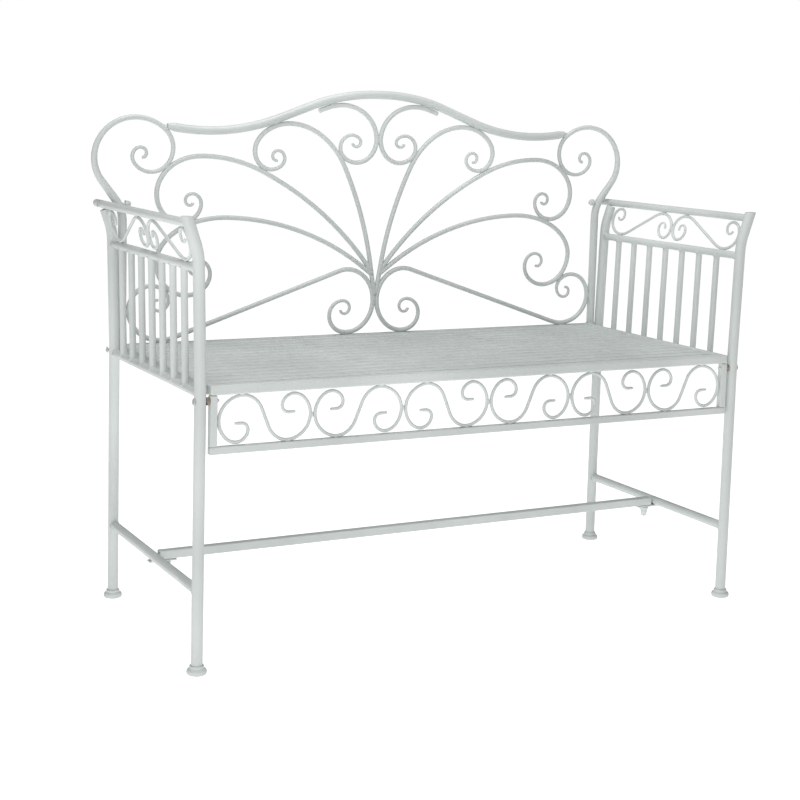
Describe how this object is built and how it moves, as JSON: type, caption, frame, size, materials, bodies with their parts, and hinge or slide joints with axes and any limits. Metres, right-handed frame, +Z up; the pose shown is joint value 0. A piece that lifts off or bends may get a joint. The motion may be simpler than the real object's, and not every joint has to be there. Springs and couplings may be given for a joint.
{
  "type": "garden bench",
  "caption": "Two-seat garden bench of painted steel tube and bent rod, with a slatted seat, scrolled apron, side frames with balusters under scrolled arms, and a backrest of curled rods.",
  "frame": {"origin": "on the floor, under the middle of the bench's overall box", "axes": "+X to the right along the seat as seen from the front, +Y to the back, +Z up"},
  "size_m": [1.1352, 0.5, 0.935],
  "materials": {
    "frame_paint": "satin off-white powder coat with a pale green-grey cast",
    "seat_paint": "satin off-white powder coat, slightly worn by use",
    "fastener_paint": "off-white paint over bolt heads and cap nuts",
    "zinc": "dull zinc plate",
    "foot_plastic": "matte, coloured like the paint"
  },
  "bodies": {
    "root": {"front_leg_left": "frame_paint", "rear_leg_left": "frame_paint", "front_foot_cap_left": "foot_plastic", "rear_foot_cap_left": "foot_plastic", "arm_rail_left": "frame_paint", "side_grille_left": "frame_paint", "side_stretcher_left": "frame_paint", "arm_scroll_front_left": "frame_paint", "arm_scroll_rear_left": "frame_paint", "stretcher_tab_left": "frame_paint", "stretcher_bolt_left": "fastener_paint", "apron_upright_left": "frame_paint", "back_post_left": "frame_paint", "petal_upper_left": "frame_paint", "petal_middle_left": "frame_paint", "petal_lower_left": "frame_paint", "base_scroll_left": "frame_paint", "crown_scroll_left": "frame_paint", "arm_bolt_left": "fastener_paint", "arm_cap_nut_left": "fastener_paint", "front_seat_bolt_left": "fastener_paint", "rear_seat_bolt_left": "fastener_paint", "front_seat_spacer_left": "zinc", "seat_back_bolt_left": "fastener_paint", "front_leg_right": "frame_paint", "rear_leg_right": "frame_paint", "front_foot_cap_right": "foot_plastic", "rear_foot_cap_right": "foot_plastic", "arm_rail_right": "frame_paint", "side_grille_right": "frame_paint", "side_stretcher_right": "frame_paint", "arm_scroll_front_right": "frame_paint", "arm_scroll_rear_right": "frame_paint", "stretcher_tab_right": "frame_paint", "stretcher_bolt_right": "fastener_paint", "apron_upright_right": "frame_paint", "back_post_right": "frame_paint", "petal_upper_right": "frame_paint", "petal_middle_right": "frame_paint", "petal_lower_right": "frame_paint", "base_scroll_right": "frame_paint", "crown_scroll_right": "frame_paint", "arm_bolt_right": "fastener_paint", "arm_cap_nut_right": "fastener_paint", "front_seat_bolt_right": "fastener_paint", "rear_seat_bolt_right": "fastener_paint", "front_seat_spacer_right": "zinc", "seat_back_bolt_right": "fastener_paint", "long_stretcher": "frame_paint", "seat_panel": "seat_paint", "apron_rail": "frame_paint", "apron_scroll_1": "frame_paint", "apron_scroll_2": "frame_paint", "apron_scroll_3": "frame_paint", "apron_scroll_4": "frame_paint", "apron_scroll_5": "frame_paint", "apron_scroll_6": "frame_paint", "crown_rail": "frame_paint", "back_bottom_rail": "frame_paint"}
  },
  "joints": []
}
